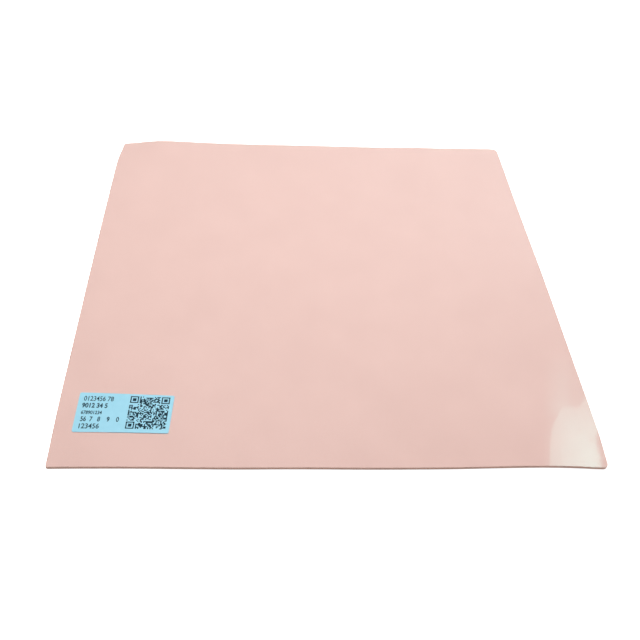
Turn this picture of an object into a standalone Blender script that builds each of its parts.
"""Thermal pad sheet: a square of pink, ceramic-filled silicone as it comes from the supplier,
with a clear release film over its top face and a small paper label near the front left corner.

Metres, +Z up. The origin is the middle of the underside. +X is to the right and the front
edge faces -Y.
"""

import math

import bmesh
import bpy
from mathutils import Matrix, Vector

# Pad: the cut stock sheet
SHEET_WIDTH = 0.2286
SHEET_DEPTH = 0.2286
PAD_THICKNESS = 0.00127
EDGE_ROUNDING = 0.0001
CORNER_RADIUS_FRONT_LEFT = 0.0009
CORNER_RADIUS_FRONT_RIGHT = 0.0024
CORNER_RADIUS_BACK_RIGHT = 0.0032
CORNER_RADIUS_BACK_LEFT = 0.0022

# Release film: flush with the pad's flat top
FILM_THICKNESS = 0.00005

# Label: stuck on the film, its margins measured to its own sides before it is turned
LABEL_WIDTH = 0.0400
LABEL_HEIGHT = 0.0205
LABEL_THICKNESS = 0.0001
LABEL_CORNER_RADIUS = 0.0008
LABEL_LEFT_MARGIN = 0.0075
LABEL_FRONT_MARGIN = 0.0163
LABEL_TURN = math.radians(-2.1)

# Facets
CORNER_STEPS = 8
EDGE_STEPS = 2

# Finishes, as linear colour, roughness and opacity
PAD_COLOUR = (0.68, 0.45, 0.40)
PAD_ROUGHNESS = 0.62
FILM_COLOUR = (0.97, 0.97, 0.97)
FILM_ROUGHNESS = 0.06
FILM_OPACITY = 0.12
LABEL_COLOUR = (0.30, 0.60, 0.73)
LABEL_ROUGHNESS = 0.55


def clear_scene():
    for item in list(bpy.data.objects):
        bpy.data.objects.remove(item, do_unlink=True)


def material(name, colour, roughness, opacity=1.0):
    made = bpy.data.materials.new(name)
    made.use_nodes = True
    shader = made.node_tree.nodes["Principled BSDF"]
    shader.inputs["Base Color"].default_value = (*colour, 1.0)
    shader.inputs["Roughness"].default_value = roughness
    shader.inputs["Metallic"].default_value = 0.0
    shader.inputs["Alpha"].default_value = opacity
    return made


def rounded_outline(width, depth, radii, inset=0.0):
    """Points around a rectangle with round corners, anticlockwise from the front right corner.

    radii are those of the front right, back right, back left and front left corners. An inset
    moves the whole outline inwards, parallel to itself.
    """
    signs = ((1, -1), (1, 1), (-1, 1), (-1, -1))
    points = []
    for corner, ((side_x, side_y), radius) in enumerate(zip(signs, radii)):
        centre = Vector((side_x * (width / 2 - radius), side_y * (depth / 2 - radius)))
        first_angle = (corner - 1) * math.pi / 2
        for step in range(CORNER_STEPS + 1):
            angle = first_angle + step / CORNER_STEPS * math.pi / 2
            points.append(centre + (radius - inset) * Vector((math.cos(angle), math.sin(angle))))
    return points


def slab(name, rings, finish):
    """A closed solid through rings of (outline, height), listed from the bottom up."""
    shape = bmesh.new()
    loops = [[shape.verts.new((x, y, height)) for x, y in outline] for outline, height in rings]
    for lower, upper in zip(loops, loops[1:]):
        for here in range(len(lower)):
            after = (here + 1) % len(lower)
            shape.faces.new((lower[here], lower[after], upper[after], upper[here]))
    shape.faces.new(reversed(loops[0]))
    shape.faces.new(loops[-1])
    mesh = bpy.data.meshes.new(name)
    shape.to_mesh(mesh)
    shape.free()
    mesh.materials.append(finish)
    made = bpy.data.objects.new(name, mesh)
    bpy.context.scene.collection.objects.link(made)
    return made


def sheet_outline(inset):
    radii = (
        CORNER_RADIUS_FRONT_RIGHT,
        CORNER_RADIUS_BACK_RIGHT,
        CORNER_RADIUS_BACK_LEFT,
        CORNER_RADIUS_FRONT_LEFT,
    )
    return rounded_outline(SHEET_WIDTH, SHEET_DEPTH, radii, inset)


def make_pad():
    """The pad, its cut edge rounded a little at the top and at the bottom."""
    bottom = []
    top = []
    for step in range(EDGE_STEPS + 1):
        angle = step / EDGE_STEPS * math.pi / 2
        outline = sheet_outline(EDGE_ROUNDING * (1 - math.sin(angle)))
        height = EDGE_ROUNDING * (1 - math.cos(angle))
        bottom.append((outline, height))
        top.insert(0, (outline, PAD_THICKNESS - height))
    finish = material("pink_silicone", PAD_COLOUR, PAD_ROUGHNESS)
    return slab("pad_sheet", bottom + top, finish)


def make_film():
    """The clear film, which covers the pad's top up to where its edge starts to round off."""
    outline = sheet_outline(EDGE_ROUNDING)
    rings = [(outline, PAD_THICKNESS), (outline, PAD_THICKNESS + FILM_THICKNESS)]
    finish = material("clear_film", FILM_COLOUR, FILM_ROUGHNESS, FILM_OPACITY)
    return slab("release_film", rings, finish)


def make_label():
    """The paper label, turned about its own middle and lying flat on the film."""
    middle = Vector(
        (
            LABEL_LEFT_MARGIN + LABEL_WIDTH / 2 - SHEET_WIDTH / 2,
            LABEL_FRONT_MARGIN + LABEL_HEIGHT / 2 - SHEET_DEPTH / 2,
        )
    )
    turn = Matrix.Rotation(LABEL_TURN, 2)
    square_on = rounded_outline(LABEL_WIDTH, LABEL_HEIGHT, [LABEL_CORNER_RADIUS] * 4)
    outline = [middle + turn @ point for point in square_on]
    film_top = PAD_THICKNESS + FILM_THICKNESS
    rings = [(outline, film_top), (outline, film_top + LABEL_THICKNESS)]
    finish = material("blue_label_paper", LABEL_COLOUR, LABEL_ROUGHNESS)
    return slab("label", rings, finish)


clear_scene()
make_pad()
make_film()
make_label()
